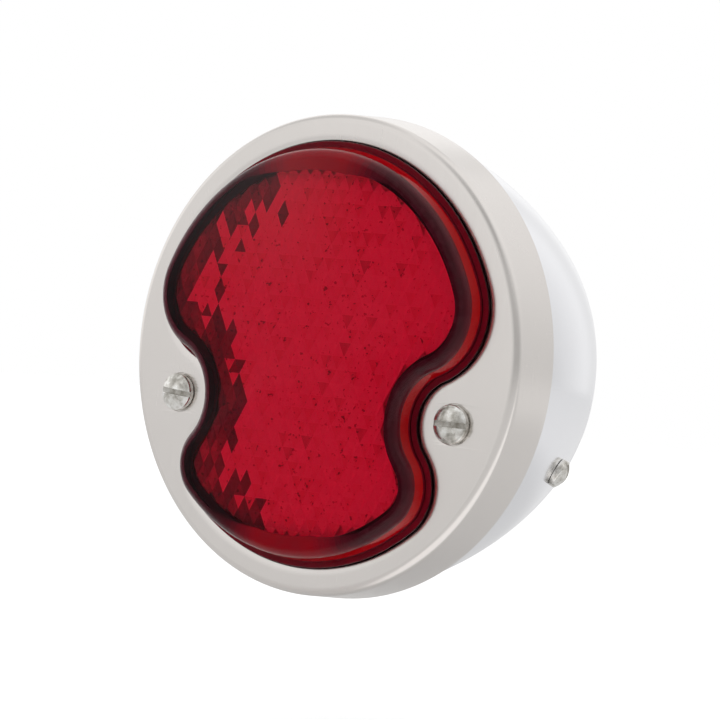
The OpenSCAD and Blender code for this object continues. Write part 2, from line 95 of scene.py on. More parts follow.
# slotted screws: head, its side and dome, slot width and depth
HEAD_R, HEAD_SIDE, HEAD_DOME, SLOT_W, SLOT_D, SCREW_LEN = 4.25, 1.9, 1.2, 1.2, 1.4, 12.0
SIDE_S, SIDE_ANGLE = 34.6, 25.7
SIDE_HEAD_R, SIDE_HEAD_SIDE, SIDE_HEAD_DOME = 3.3, 1.2, 1.4
SIDE_SLOT_W, SIDE_SLOT_D, SIDE_SLOT_TURN = 0.9, 1.0, 5.0
SIDE_SHANK_R, SIDE_SCREW_LEN = 1.75, 6.0
# studs, whose shanks are as thick as the bezel screws'
SHANK_R, STUD_X, STUD_LEN, STUD_COLLAR_R = 2.4, 22.2, 20.0, 3.0
STUD_HEAD_R, STUD_HEAD_T = 5.0, 1.8
THREAD_PITCH, THREAD_DEPTH = 1.06, 0.5
# socket spring
SPRING_WIRE_R, SPRING_TURNS = 0.3, 3

# points round a turned shape, and round a hole or a small screw seat
TURN_POINTS, HOLE_POINTS, SEAT_POINTS = 360, 48, 72


def clamp(v):
    return min(1.0, max(0.0, v))


def sin(a):
    return math.sin(math.radians(a))


def cos(a):
    return math.cos(math.radians(a))


# ---------------------------------------------------------------- outline of the opening
def polar(r, a):
    return (r * cos(a), r * sin(a))


def angle_of(x, y):
    return math.degrees(math.atan2(y, x))


def blend_turn(r):
    a, b, d = OPENING_R - r, NOTCH_R + r, math.hypot(*NOTCH)
    return math.degrees(math.acos((a * a + d * d - b * b) / (2 * a * d)))


NOTCH_A = angle_of(*NOTCH)
UPPER_A, LOWER_A = NOTCH_A + blend_turn(UPPER_R), NOTCH_A - blend_turn(LOWER_R)
UPPER_C, LOWER_C = polar(OPENING_R - UPPER_R, UPPER_A), polar(OPENING_R - LOWER_R, LOWER_A)


def arc(c, r, a0, a1, n):
    return [(c[0] + r * cos(a0 + (a1 - a0) * i / n),
             c[1] + r * sin(a0 + (a1 - a0) * i / n)) for i in range(n)]


def outline(d):
    """The lobed outline moved inwards by d, anticlockwise from the bottom, in X and Z."""
    nu = angle_of(NOTCH[0] - UPPER_C[0], NOTCH[1] - UPPER_C[1])
    nl = angle_of(NOTCH[0] - LOWER_C[0], NOTCH[1] - LOWER_C[1])
    half = arc((0, 0), OPENING_R - d, -90, LOWER_A, 20)
    half += arc(LOWER_C, LOWER_R - d, LOWER_A, nl, 16)
    half += arc(NOTCH, NOTCH_R + d, nl + 180, nu + 180, 20)
    half += arc(UPPER_C, UPPER_R - d, nu, UPPER_A, 18)
    half += arc((0, 0), OPENING_R - d, UPPER_A, 90, 30)
    half += [(0.0, OPENING_R - d)]
    return half + [(-x, z) for x, z in half[-2:0:-1]]


def circle(r, n, c=(0.0, 0.0)):
    return [(c[0] + r * math.cos(2 * math.pi * i / n), c[1] + r * math.sin(2 * math.pi * i / n))
            for i in range(n)]


def scaled(pts, k):
    return [(k * x, k * z) for x, z in pts]


# ---------------------------------------------------------------- mesh helpers
def at(x, z, s):
    return (x * MM, FACE_Y + s * MM, z * MM)


def add_object(name, data):
    o = bpy.data.objects.new(name, data)
    bpy.context.scene.collection.objects.link(o)
    return o


def baked(o):
    """A new mesh with the object's modifiers applied."""
    bpy.context.view_layer.update()
    return bpy.data.meshes.new_from_object(o.evaluated_get(bpy.context.evaluated_depsgraph_get()))


def face_layer(me, name, values):
    layer = me.attributes.new(name, "FLOAT", "FACE")
    for k, v in enumerate(values):
        layer.data[k].value = v


def add_quad(verts, faces, corners):
    n = len(verts)
    verts += corners
    faces.append((n, n + 1, n + 2, n + 3))


def finish_mesh(name, verts, faces, merge=1e-6, weighted=False):
    me = bpy.data.meshes.new(name)
    me.from_pydata(verts, [], faces)
    bm = bmesh.new()
    bm.from_mesh(me)
    bmesh.ops.remove_doubles(bm, verts=bm.verts, dist=merge)
    bmesh.ops.recalc_face_normals(bm, faces=bm.faces)
    bm.to_mesh(me)
    bm.free()
    for p in me.polygons:
        p.use_smooth = True
    o = add_object(name, me)
    if weighted:
        me.set_sharp_from_angle(angle=math.radians(35))
        w = o.modifiers.new("even shading", "WEIGHTED_NORMAL")
        w.weight, w.keep_sharp = 100, True
    return o


class Builder:
    """Collects loops of points and the strips between them."""

    def __init__(self):
        self.verts, self.faces = [], []

    def loop(self, pts, s):
        start = len(self.verts)
        self.verts += [at(x, z, s) for x, z in pts]
        return (start, len(pts))

    def strip(self, a, b):
        n = a[1]
        for i in range(n):
            j = (i + 1) % n
            self.faces.append((a[0] + i, a[0] + j, b[0] + j, b[0] + i))

    def rings(self, rings):
        loops = [self.loop(p, s) for p, s in rings]
        for a, b in zip(loops, loops[1:]):
            self.strip(a, b)
        return loops

    def cap(self, a, s, centre=(0, 0)):
        k = len(self.verts)
        self.verts.append(at(centre[0], centre[1], s))
        for i in range(a[1]):
            self.faces.append((a[0] + i, a[0] + (i + 1) % a[1], k))

    def flat(self, loops, s):
        """A flat face at depth s with the first loop as its edge and the others as holes."""
        cu = bpy.data.curves.new("flat", "CURVE")
        cu.dimensions, cu.fill_mode = "2D", "BOTH"
        for pts in loops:
            sp = cu.splines.new("POLY")
            sp.points.add(len(pts) - 1)
            for p, (x, z) in zip(sp.points, pts):
                p.co = (x, z, 0, 1)
            sp.use_cyclic_u = True
        o = add_object("flat", cu)
        me = baked(o)
        k = len(self.verts)
        self.verts += [at(v.co.x, v.co.y, s) for v in me.vertices]
        self.faces += [tuple(k + i for i in p.vertices) for p in me.polygons]
        bpy.data.objects.remove(o)
        bpy.data.curves.remove(cu)
        bpy.data.meshes.remove(me)


# ---------------------------------------------------------------- materials
def calc(t, op, a, b=0.0):
    """A Math node in tree t; a and b are numbers or sockets."""
    n = t.nodes.new("ShaderNodeMath")
    n.operation = op
    for i, v in enumerate((a, b)):
        if isinstance(v, (int, float)):
            n.inputs[i].default_value = v
        else:
            t.links.new(v, n.inputs[i])
    return n.outputs[0]


class Mat:
    """A Principled material with a few node shortcuts."""

    def __init__(self, name, color, rough, metallic=0.0, **sockets):
        self.m = bpy.data.materials.new(name)
        self.m.use_nodes = True
        self.t = self.m.node_tree
        self.bsdf = self.t.nodes["Principled BSDF"]
        self.bsdf.inputs["Base Color"].default_value = (*color, 1)
        self.bsdf.inputs["Roughness"].default_value = rough
        self.bsdf.inputs["Metallic"].default_value = metallic
        for k, v in sockets.items():
            self.bsdf.inputs[k.replace("_", " ")].default_value = v
        self.coords = None

    def node(self, kind, **values):
        n = self.t.nodes.new(kind)
        for k, v in values.items():
            if hasattr(n, k):
                setattr(n, k, v)
            else:
                n.inputs[k.replace("_", " ")].default_value = v
        return n

    def link(self, a, b):
        self.t.links.new(a, b)

    def attribute(self, name):
        return self.node("ShaderNodeAttribute", attribute_name=name).outputs["Fac"]

    def noise(self, scale, detail, rough, stretch=(1, 1, 1)):
        n = self.node("ShaderNodeTexNoise", Scale=scale, Detail=detail, Roughness=rough)
        if self.coords is None:
            self.coords = self.node("ShaderNodeTexCoord")
        mapping = self.node("ShaderNodeMapping")
        mapping.inputs["Scale"].default_value = stretch
        self.link(self.coords.outputs["Object"], mapping.inputs["Vector"])
        self.link(mapping.outputs["Vector"], n.inputs["Vector"])
        return n.outputs["Fac"]

    def remap(self, value, low, high, a, b):
        n = self.node("ShaderNodeMapRange", From_Min=low, From_Max=high, To_Min=a, To_Max=b)
        self.link(value, n.inputs["Value"])
        return n.outputs["Result"]

    def ramp(self, value, stops):
        n = self.node("ShaderNodeValToRGB")
        els = n.color_ramp.elements
        while len(els) < len(stops):
            els.new(0.5)
        for e, (p, c) in zip(els, stops):
            e.position, e.color = p, (*c, 1)
        self.link(value, n.inputs["Fac"])
        return n.outputs["Color"]

    def math(self, op, a, b):
        return calc(self.t, op, a, b)

    def color(self, socket):
        self.link(socket, self.bsdf.inputs["Base Color"])

    def rough(self, socket):
        self.link(socket, self.bsdf.inputs["Roughness"])

    def bump(self, height, distance):
        n = self.node("ShaderNodeBump", Distance=distance)
        self.link(height, n.inputs["Height"])
        self.link(n.outputs["Normal"], self.bsdf.inputs["Normal"])


def polished_metal(name, dark, light, rough_low, rough_high, grain, grain_depth, stretch):
    """Polished sheet: cloudy tone, a fine drawn grain and small changes of gloss."""
    m = Mat(name, light, (rough_low + rough_high) / 2, 1.0)
    cloud = m.noise(18, 4.0, 0.6)
    m.color(m.ramp(cloud, [(0.3, dark), (0.7, light)]))
    lines = m.noise(grain, 3.0, 0.7, stretch)
    m.rough(m.remap(m.math("ADD", m.math("MULTIPLY", lines, 0.6), m.math("MULTIPLY", cloud, 0.4)),
                    0.35, 0.65, rough_low, rough_high))
    m.bump(lines, grain_depth)
    return m.m


def plain(name, dark, light, rough, metallic, scale, depth, **sockets):
    """A cast, moulded or plated surface: mottled tone, uneven gloss and a fine skin."""
    m = Mat(name, light, rough, metallic, **sockets)
    cloud = m.noise(scale, 5.0, 0.6)
    m.color(m.ramp(cloud, [(0.3, dark), (0.7, light)]))
    m.rough(m.remap(cloud, 0.3, 0.7, rough * 0.8, min(1.0, rough * 1.25)))
    m.bump(m.noise(scale * 9, 4.0, 0.6), depth)
    return m.m


BEZEL_METAL = polished_metal("polished_bezel", dark=(0.80, 0.762, 0.73), light=(0.84, 0.80, 0.77),
                             rough_low=0.20, rough_high=0.28, grain=1500, grain_depth=0.000002,
                             stretch=(1, 1, 0.06))
BOWL_METAL = polished_metal("satin_bowl", dark=(0.86, 0.86, 0.885), light=(0.91, 0.91, 0.935),
                            rough_low=0.12, rough_high=0.2, grain=700, grain_depth=0.000004,
                            stretch=(0.1, 1, 0.1))


def screw_metal():
    """Worn bright nickel: dents that catch the light, stains, and painted shade darkening the slot."""
    m = Mat("screw_nickel", (0.8, 0.78, 0.74), 0.24, 1.0)
    stain = m.noise(420, 5.0, 0.65)
    tone = m.ramp(stain, [(0.34, (0.36, 0.34, 0.30)), (0.5, (0.72, 0.70, 0.655)),
                          (0.62, (0.93, 0.92, 0.89))])
    # the slot's faces are mixed towards a dark brown: painted shade in the slot
    slot_shade = m.attribute("slot_shade")
    mix = m.node("ShaderNodeMix", data_type="RGBA")
    m.link(m.remap(slot_shade, 0.0, 1.0, 0.0, 0.5), mix.inputs["Factor"])
    m.link(tone, mix.inputs["A"])
    mix.inputs["B"].default_value = (0.16, 0.14, 0.11, 1)
    m.color(mix.outputs["Result"])
    m.rough(m.remap(stain, 0.3, 0.7, 0.34, 0.18))
    dents = m.math("ADD", m.noise(330, 2.0, 0.5), m.math("MULTIPLY", m.noise(2600, 3.0, 0.6), 0.12))
    m.bump(dents, 0.00007)
    return m.m


SCREW_METAL = screw_metal()


# ---------------------------------------------------------------- bezel
def make_bezel():
    b = Builder()
    n = TURN_POINTS
    lip_w, lip_over, lip_h, seat_edge = 1.6, 0.32, 0.35, 0.1
    foot_in, foot_up, foot_flat, foot_inner = 0.06, 0.12, 0.14, 0.1
    steps = 8
    shoulder_c = BARREL_R - SHOULDER_R
    rings = [(circle(shoulder_c + SHOULDER_R * sin(a), n), SHOULDER_R * (1 - cos(a)))
             for a in range(0, 91, 9)]
    for i in range(1, steps + 1):
        k, last = i / steps, i == steps
        rings.append((circle(BARREL_R + (RIM_R - BARREL_R) * k - (foot_in if last else 0), n),
                      SHOULDER_R + (BEZEL_DEPTH - SHOULDER_R) * k - (foot_up if last else 0)))
    rings += [(circle(RIM_R - foot_flat, n), BEZEL_DEPTH),
              (circle(RIM_R - BEZEL_WALL + foot_inner, n), BEZEL_DEPTH),
              (circle(RIM_R - BEZEL_WALL, n), BEZEL_DEPTH - foot_inner),
              (circle(BARREL_R - BEZEL_WALL, n), SHOULDER_R)]
    rings += [(circle(shoulder_c + (SHOULDER_R - BEZEL_WALL) * cos(a), n),
               SHOULDER_R - (SHOULDER_R - BEZEL_WALL) * sin(a)) for a in (30, 60, 90)]
    b.rings(rings)
    # the opening's rounded edge and its wall
    lip = [(outline(lip_over - (lip_w + lip_over) * (1 - sin(a))), lip_h * (1 - cos(a)))
           for a in range(0, 91, 9)]
    b.rings(lip + [(outline(lip_over), BEZEL_WALL)])
    # the sunk screw seats
    centres = [(m * SCREW[0], SCREW[1]) for m in (1, -1)]
    for c in centres:
        edge = [(circle(RECESS_R + seat_edge * (1 - sin(a)), SEAT_POINTS, c), seat_edge * (1 - cos(a)))
                for a in (0, 22, 45, 68, 90)]
        seat = [(RECESS_R, RECESS_S), (SHANK_R + SHANK_GAP, RECESS_S),
                (SHANK_R + SHANK_GAP, RECESS_S + RECESS_WALL),
                (RECESS_R + RECESS_SIDE, RECESS_S + RECESS_WALL), (RECESS_R + RECESS_SIDE, BEZEL_WALL)]
        b.rings(edge + [(circle(r, SEAT_POINTS, c), s) for r, s in seat])
    b.flat([circle(shoulder_c, n), outline(-lip_w)]
           + [circle(RECESS_R + seat_edge, SEAT_POINTS, c) for c in centres], 0)
    b.flat([circle(shoulder_c, n), outline(lip_over)]
           + [circle(RECESS_R + RECESS_SIDE, SEAT_POINTS, c) for c in centres], BEZEL_WALL)
    o = finish_mesh("bezel_ring", b.verts, b.faces, 2e-6, weighted=True)
    o.data.materials.append(BEZEL_METAL)
    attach(o, "lamp")
    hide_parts("bezel")


# ---------------------------------------------------------------- bowl
COLLAR_R = RIM_R - BEZEL_WALL - BEZEL_FIT
SIDE_C = (COLLAR_R - SIDE_R * cos(SIDE_LEAN),
          BEZEL_DEPTH - SIDE_R * sin(SIDE_LEAN))
CORNER_S = BOWL_DEPTH - CORNER_R
CORNER_X = SIDE_C[0] + math.sqrt((SIDE_R - CORNER_R) ** 2 - (CORNER_S - SIDE_C[1]) ** 2)
CORNER_A = math.degrees(math.asin((CORNER_S - SIDE_C[1]) / (SIDE_R - CORNER_R)))


def bowl_profile(e):
    """Radius and depth from the collar to the flat back, moved inwards by e."""
    side_steps, corner_steps = 30, 24
    mouth_r = COLLAR_R - (RIM_R - BARREL_R) * COLLAR_LEN / (BEZEL_DEPTH - SHOULDER_R)
    pts = [(mouth_r - e, BEZEL_DEPTH - COLLAR_LEN)]
    for i in range(side_steps + 1):
        x, s = polar(SIDE_R - e, SIDE_LEAN + (CORNER_A - SIDE_LEAN) * i / side_steps)
        pts.append((SIDE_C[0] + x, SIDE_C[1] + s))
    for i in range(1, corner_steps + 1):
        x, s = polar(CORNER_R - e, CORNER_A + (90 - CORNER_A) * i / corner_steps)
        pts.append((CORNER_X + x, CORNER_S + s))
    return pts


def make_bowl():
    b = Builder()
    stud_gap = 0.1
    outer, inner = bowl_profile(0), bowl_profile(BOWL_WALL)
    b.rings([(circle(r, TURN_POINTS), s) for r, s in inner[::-1] + outer])
    holes = [circle(SOCKET_HOLE_R, HOLE_POINTS)]
    holes += [circle(STUD_COLLAR_R + stud_gap, HOLE_POINTS, (m * STUD_X, 0)) for m in (1, -1)]
    for e, prof in ((0, outer), (BOWL_WALL, inner)):
        b.flat([circle(prof[-1][0], TURN_POINTS)] + holes, BOWL_DEPTH - e)
    for h in holes:
        b.rings([(h, BOWL_DEPTH - BOWL_WALL), (h, BOWL_DEPTH)])
    o = finish_mesh("bowl_shell", b.verts, b.faces, 2e-6, weighted=True)
    o.data.materials.append(BOWL_METAL)
    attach(o, "lamp")
    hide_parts("housing")


# ---------------------------------------------------------------- lens
def lens_material():
    """Clear red plastic, glossier where the mesh's gloss attribute says so."""
    m = Mat("red_lens", (1.0, 0.12, 0.24), 0.02, 0.0, IOR=1.49)
    m.bsdf.inputs["Transmission Weight"].default_value = 1.0
    m.link(m.ramp(m.attribute("gloss"), [(0.0, (0.03, 0.03, 0.03)), (1.0, (0.8, 0.8, 0.8))]),
           m.bsdf.inputs["Specular Tint"])
    m.bump(m.noise(60, 2.0, 0.5), 0.00004)
    return m.m


def optics_material():
    """The moulded diamond optics: each cell has its own depth of red, and painted shade darkens cells round
    the edge and some lower faces.
    """
    m = Mat("red_optics", (0.7, 0.05, 0.1), 0.28, 0.0, IOR=1.49)
    tone = m.attribute("tone")
    cloud = m.noise(110, 4.0, 0.6, stretch=(1, 1, 0.6))
    specks = m.remap(m.noise(1100, 2.0, 0.5), 0.62, 0.7, 0.0, 0.35)
    depth = m.math("ADD", tone, m.math("MULTIPLY", m.math("SUBTRACT", cloud, 0.5), 0.4))
    depth = m.math("SUBTRACT", depth, specks)
    # low tones are the cells' painted shade, high tones their lit red
    m.color(m.ramp(depth, [(0.0, (0.04, 0.025, 0.04)), (0.35, (0.26, 0.09, 0.14)),
                           (0.62, (0.9, 0.3, 0.5)), (0.82, (1.0, 0.52, 0.74))]))
    return m.m


RIM_GLOSS, LEFT_GLOSS, FACE_GLOSS = 0.42, 0.55, 0.65


def lens_gloss(x, z, s):
    """How clearly a point mirrors the studio: the rim most on its left, the face at its upper left."""
    if -FRONT_H + 0.15 <= s <= -WALL_H:
        return RIM_GLOSS + LEFT_GLOSS * clamp(-x / 30)
    return FACE_GLOSS * (clamp((z - 12) / 28) * clamp((14 - x) / 24)) if s < -WALL_H else 0.0


def make_lens():
    b = Builder()
    step_in, step_round = LENS_GAP + STEP_W, 0.3
    # where the wall rises from the step: inwards and forwards
    wall_foot = ((-0.15, 0.0), (-0.02, 0.06), (0.02, 0.2))
    rings = [(scaled(outline(CAVITY_IN), k), CAVITY_S - CROWN * (1 - k * k))
             for k in (0.15, 0.3, 0.5, 0.7, 0.85, 1.0)]
    rings += [(outline(CAVITY_IN), GASKET_S), (outline(-FLANGE_W), GASKET_S),
              (outline(-FLANGE_W), FLANGE_S), (outline(LENS_GAP), FLANGE_S),
              (outline(LENS_GAP), -STEP_H + step_round)]
    rings += [(outline(LENS_GAP + step_round * (1 - cos(a))), -STEP_H + step_round - step_round * sin(a))
              for a in (30, 60, 90)]
    rings += [(outline(step_in + d), -STEP_H - s) for d, s in wall_foot]
    rings += [(outline(RIM_IN + RIM_ROUND * (1 - cos(a))), -WALL_H - RIM_ROUND * sin(a))
              for a in range(0, 91, 6)]
    rings += [(scaled(outline(RIM_IN + RIM_ROUND), k), -FRONT_H - CROWN * (1 - k * k))
              for k in (0.97, 0.9, 0.75, 0.6, 0.45, 0.3, 0.15)]
    loops = b.rings(rings)
    b.cap(loops[0], CAVITY_S - CROWN)
    b.cap(loops[-1], -FRONT_H - CROWN)
    o = finish_mesh("lens_shell", b.verts, b.faces, 1e-7)
    gloss = o.data.attributes.new("gloss", "FLOAT", "POINT")
    for k, v in enumerate(o.data.vertices):
        gloss.data[k].value = lens_gloss(v.co.x / MM, v.co.z / MM, (v.co.y - FACE_Y) / MM)
    o.data.set_sharp_from_angle(angle=math.radians(40))
    o.data.materials.append(lens_material())
    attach(o, "lamp")
    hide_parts("lens")


def inside(pt, poly):
    x, y = pt
    hit = False
    for (x0, y0), (x1, y1) in zip(poly, poly[1:] + poly[:1]):
        if (y0 > y) != (y1 > y) and x < (x1 - x0) * (y - y0) / (y1 - y0) + x0:
            hit = not hit
    return hit


def nearest(pt, poly):
    return min(poly, key=lambda q: (q[0] - pt[0]) ** 2 + (q[1] - pt[1]) ** 2)


def on_left(x, z):
    """Whether a point of the lens's edge belongs to its left side, where shade is painted onto the cells."""
    return x < (-12 if z > 0 else -8)


# a cell's width, height and rise, and its distance behind the lens's inner face
CELL_W, CELL_H, CELL_RISE, CELL_GAP = 3.2, 6.0, 0.7, 0.25
COLUMNS, ROWS = 32, 18
# a cell's own tone, how far cells differ, and how far the four faces of one cell differ
CELL_TONE, CELL_SPREAD, FACE_SPREAD = 0.89, 0.04, 0.03
# distance from the lens's edge, and the share of cells painted dark as shade up to it, in shaded columns and
# in the others
SHADE_SHARES = ((5.2, 0.97, 0.97), (8.4, 0.8, 0.22), (12.0, 0.3, 0.04))
# painted shade: the band of deeper shade along the edge, where half-shaded cells begin, the share of shaded
# columns, and the shares of columns and cells whose lower faces take painted shade
EDGE_BAND, HALF_SHADED_FROM = 5.2, 4.0
SHADED_COLUMNS, FAINT_COLUMNS, FAINT_CELLS = 0.42, 0.45, 0.75
BACKING_TONE = 0.8


def make_optics():
    """Diamond cells, each a low four-sided pyramid, across the lens's inner face."""
    rng = random.Random(7)
    edge = outline(CAVITY_IN + 0.05)
    column = [rng.random() for _ in range(67)]
    period = len(column)
    verts, faces, tones = [], [], []
    corners = {}
    cavity = sorted((math.atan2(z, x), math.hypot(x, z)) for x, z in outline(CAVITY_IN))

    def depth_at(x, z):
        """Just behind the crowned inner face of the lens."""
        a, r = math.atan2(z, x), math.hypot(x, z)
        reach = min(cavity, key=lambda p: abs(p[0] - a))[1]
        return CAVITY_S - CROWN * max(0.0, 1 - (r / reach) ** 2) + CELL_GAP

    def corner(i, j):
        if (i, j) not in corners:
            x, z = i * CELL_W / 2, j * CELL_H / 2
            if not inside((x, z), edge):
                x, z = nearest((x, z), edge)
            corners[(i, j)] = len(verts)
            verts.append(at(x, z, depth_at(x, z)))
        return corners[(i, j)]

    for i in range(-COLUMNS, COLUMNS + 1):
        for j in range(-ROWS, ROWS + 1):
            x, z = i * CELL_W / 2, j * CELL_H / 2
            if (i + j) % 2 or not inside((x, z), edge):
                continue
            near = nearest((x, z), edge)
            d = math.hypot(near[0] - x, near[1] - z)
            tip = len(verts)
            verts.append(at(x, z, depth_at(x, z) + CELL_RISE))
            ring = [corner(i + 1, j), corner(i, j + 1), corner(i - 1, j), corner(i, j - 1)]
            cell = CELL_TONE + rng.uniform(-CELL_SPREAD, CELL_SPREAD)
            shaded_column = column[i % period] < SHADED_COLUMNS
            share = next((a if shaded_column else b for reach, a, b in SHADE_SHARES if d < reach), 0.0)
            # which of the cell's four faces are painted dark as shade, and how much painted shade darkens
            # its lower two otherwise
            dark = {0, 1, 2, 3} if on_left(*near) and rng.random() < share else set()
            if dark and d > HALF_SHADED_FROM and rng.random() < 0.3:
                dark = rng.choice(({0, 1}, {2, 3}))
            low = rng.uniform(0.14, 0.30) if rng.random() < 0.33 else 0.0
            if column[3 * i % period] < FAINT_COLUMNS and column[(5 * i + 2 * j) % period] < FAINT_CELLS:
                low = max(low, 0.13 + 0.12 * column[(i + j) % period])
            # the tone of a face painted in shade, deeper in the band along the edge
            shade_tone = rng.uniform(0.18, 0.42) if d < EDGE_BAND else rng.uniform(0.16, 0.26)
            for k in range(4):
                faces.append((ring[k], ring[(k + 1) % 4], tip))
                tone = shade_tone if k in dark else cell - (low if k in (2, 3) else 0.0)
                tones.append(tone + rng.uniform(-FACE_SPREAD, FACE_SPREAD))
    # the skin behind the outermost cells, in rings from the lens's wall inwards, painted dark as shade on
    # the left
    shrink = (1.0, 0.94, 0.88, 0.82, 0.76)
    for k0, k1 in zip(shrink, shrink[1:]):
        for k in range(len(edge)):
            p0, p1 = edge[k], edge[(k + 1) % len(edge)]
            quad = scaled((p0, p1), k0) + scaled((p1, p0), k1)
            add_quad(verts, faces, [at(x, z, depth_at(x, z) + CELL_RISE + 0.05) for x, z in quad])
            tones.append(rng.uniform(0.27, 0.33) if on_left(*p0) else BACKING_TONE)
    toned_mesh("lens_optics", verts, faces, tones, optics_material())


def toned_mesh(name, verts, faces, tones, material):
    me = bpy.data.meshes.new(name)
    me.from_pydata(verts, [], faces)
    face_layer(me, "tone", [clamp(t) for t in tones])
    o = add_object(name, me)
    me.materials.append(material)
    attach(o, "lamp")


def edge_light_material():
    """Painted light and shade for the lens's rim: a pale painted reflection, plum painted shade and a clear
    painted red glow.
    """
    m = Mat("red_edge_painted_light", (0.8, 0.05, 0.09), 0.5, 0.0, IOR=1.49)
    m.bsdf.inputs["Specular IOR Level"].default_value = 0.0
    tone = m.attribute("tone")
    cloud = m.math("MULTIPLY", m.math("SUBTRACT", m.noise(300, 3.0, 0.6), 0.5), 0.2)
    # tone 0 is a pale painted reflection, low tones painted shade, high tones a painted red glow
    m.color(m.ramp(m.math("ADD", tone, cloud),
                   [(0.0, (0.15, 0.115, 0.13)), (0.1, (0.083, 0.037, 0.052)), (0.3, (0.15, 0.05, 0.075)),
                    (0.55, (0.42, 0.035, 0.075)), (0.9, (0.72, 0.0, 0.015))]))
    return m.m


# tilt of the lens's rim, from its face (0) to its wall (90), and the painted tone from there to the next
# tilt: low tones painted shade, the wall's high tone a painted glow
RIM_TONES = [(0, 0.1), (15, 0.1), (30, 0.1), (42, 0.14), (52, 0.22), (62, 0.3), (75, 0.36), (90, 0.88)]
# the painted tone it rises to at the very top and foot, and the tones of painted shade below which it turns
# pale on the left, a painted reflection
RIM_RED, RIM_SHADE = 0.6, 0.2


def make_lens_edge():
    """Painted light and shade in the lens's rim, as a skin under it: painted shade where it turns in, a
    painted glow down its wall.

    At the very top and foot the painted rim is redder; on the left its painted shade is paler, a painted
    reflection.
    """
    material = edge_light_material()
    under, deep, foot = 0.12, GASKET_S - 0.4, RIM_IN - DRAFT
    side, crescent, step_s = RIM_IN + 0.25, CAVITY_IN + 1.0, -0.3
    path = [(RIM_IN + RIM_ROUND - (RIM_ROUND - under) * sin(a), -WALL_H - (RIM_ROUND - under) * cos(a), t)
            for a, t in RIM_TONES]
    # down the wall to just above the step, with a dark line of painted shade at its foot
    path += [(foot + under + 0.1, -STEP_H - 0.65, 0.4), (foot + under, -STEP_H - 0.15, 0.08)]
    # each strip runs round the lens between two insets and depths, in one painted tone of light or shade;
    # after the path come a flat crescent under the face's edge, the step, and the side and bottom of the
    # lens behind the bezel
    strips = [(i0, s0, i1, s1, t) for (i0, s0, t), (i1, s1, _) in zip(path, path[1:])]
    strips += [(crescent, -FRONT_H + under, RIM_IN + RIM_ROUND, -FRONT_H + under, 0.1),
               (LENS_GAP + 0.08, step_s, foot + under, step_s, 0.42),
               (side, step_s, side, deep, 0.13),
               (side, deep, CAVITY_IN - 0.05, deep, 0.3)]
    verts, faces, tones = [], [], []
    for in0, s0, in1, s1, t in strips:
        a, b = outline(in0), outline(in1)
        turns = [math.degrees(math.atan2(abs(z), x)) for x, z in a]
        reds = [clamp(1.6 - abs(turn - 90) / 18) for turn in turns]
        if in0 == crescent:
            a = [(bx + (ax - bx) * f, bz + (az - bz) * f) for (ax, az), (bx, bz), f in zip(a, b, reds)]
        for k in range(len(a)):
            q = (k + 1) % len(a)
            if in0 == crescent and max(reds[k], reds[q]) == 0.0:
                continue
            add_quad(verts, faces, [at(*a[k], s0), at(*a[q], s0), at(*b[q], s1), at(*b[k], s1)])
            # painted: redder towards the very top and foot, and on the left the painted shade turns pale, a
            # painted reflection
            tone = max(t, t + (RIM_RED - t) * reds[k]) if s0 < -WALL_H else t
            painted_veil = clamp((turns[k] - 120) / 25)
            tones.append(tone * (1 - painted_veil) if tone < RIM_SHADE else tone)
    toned_mesh("lens_rim_painted_light", verts, faces, tones, material)


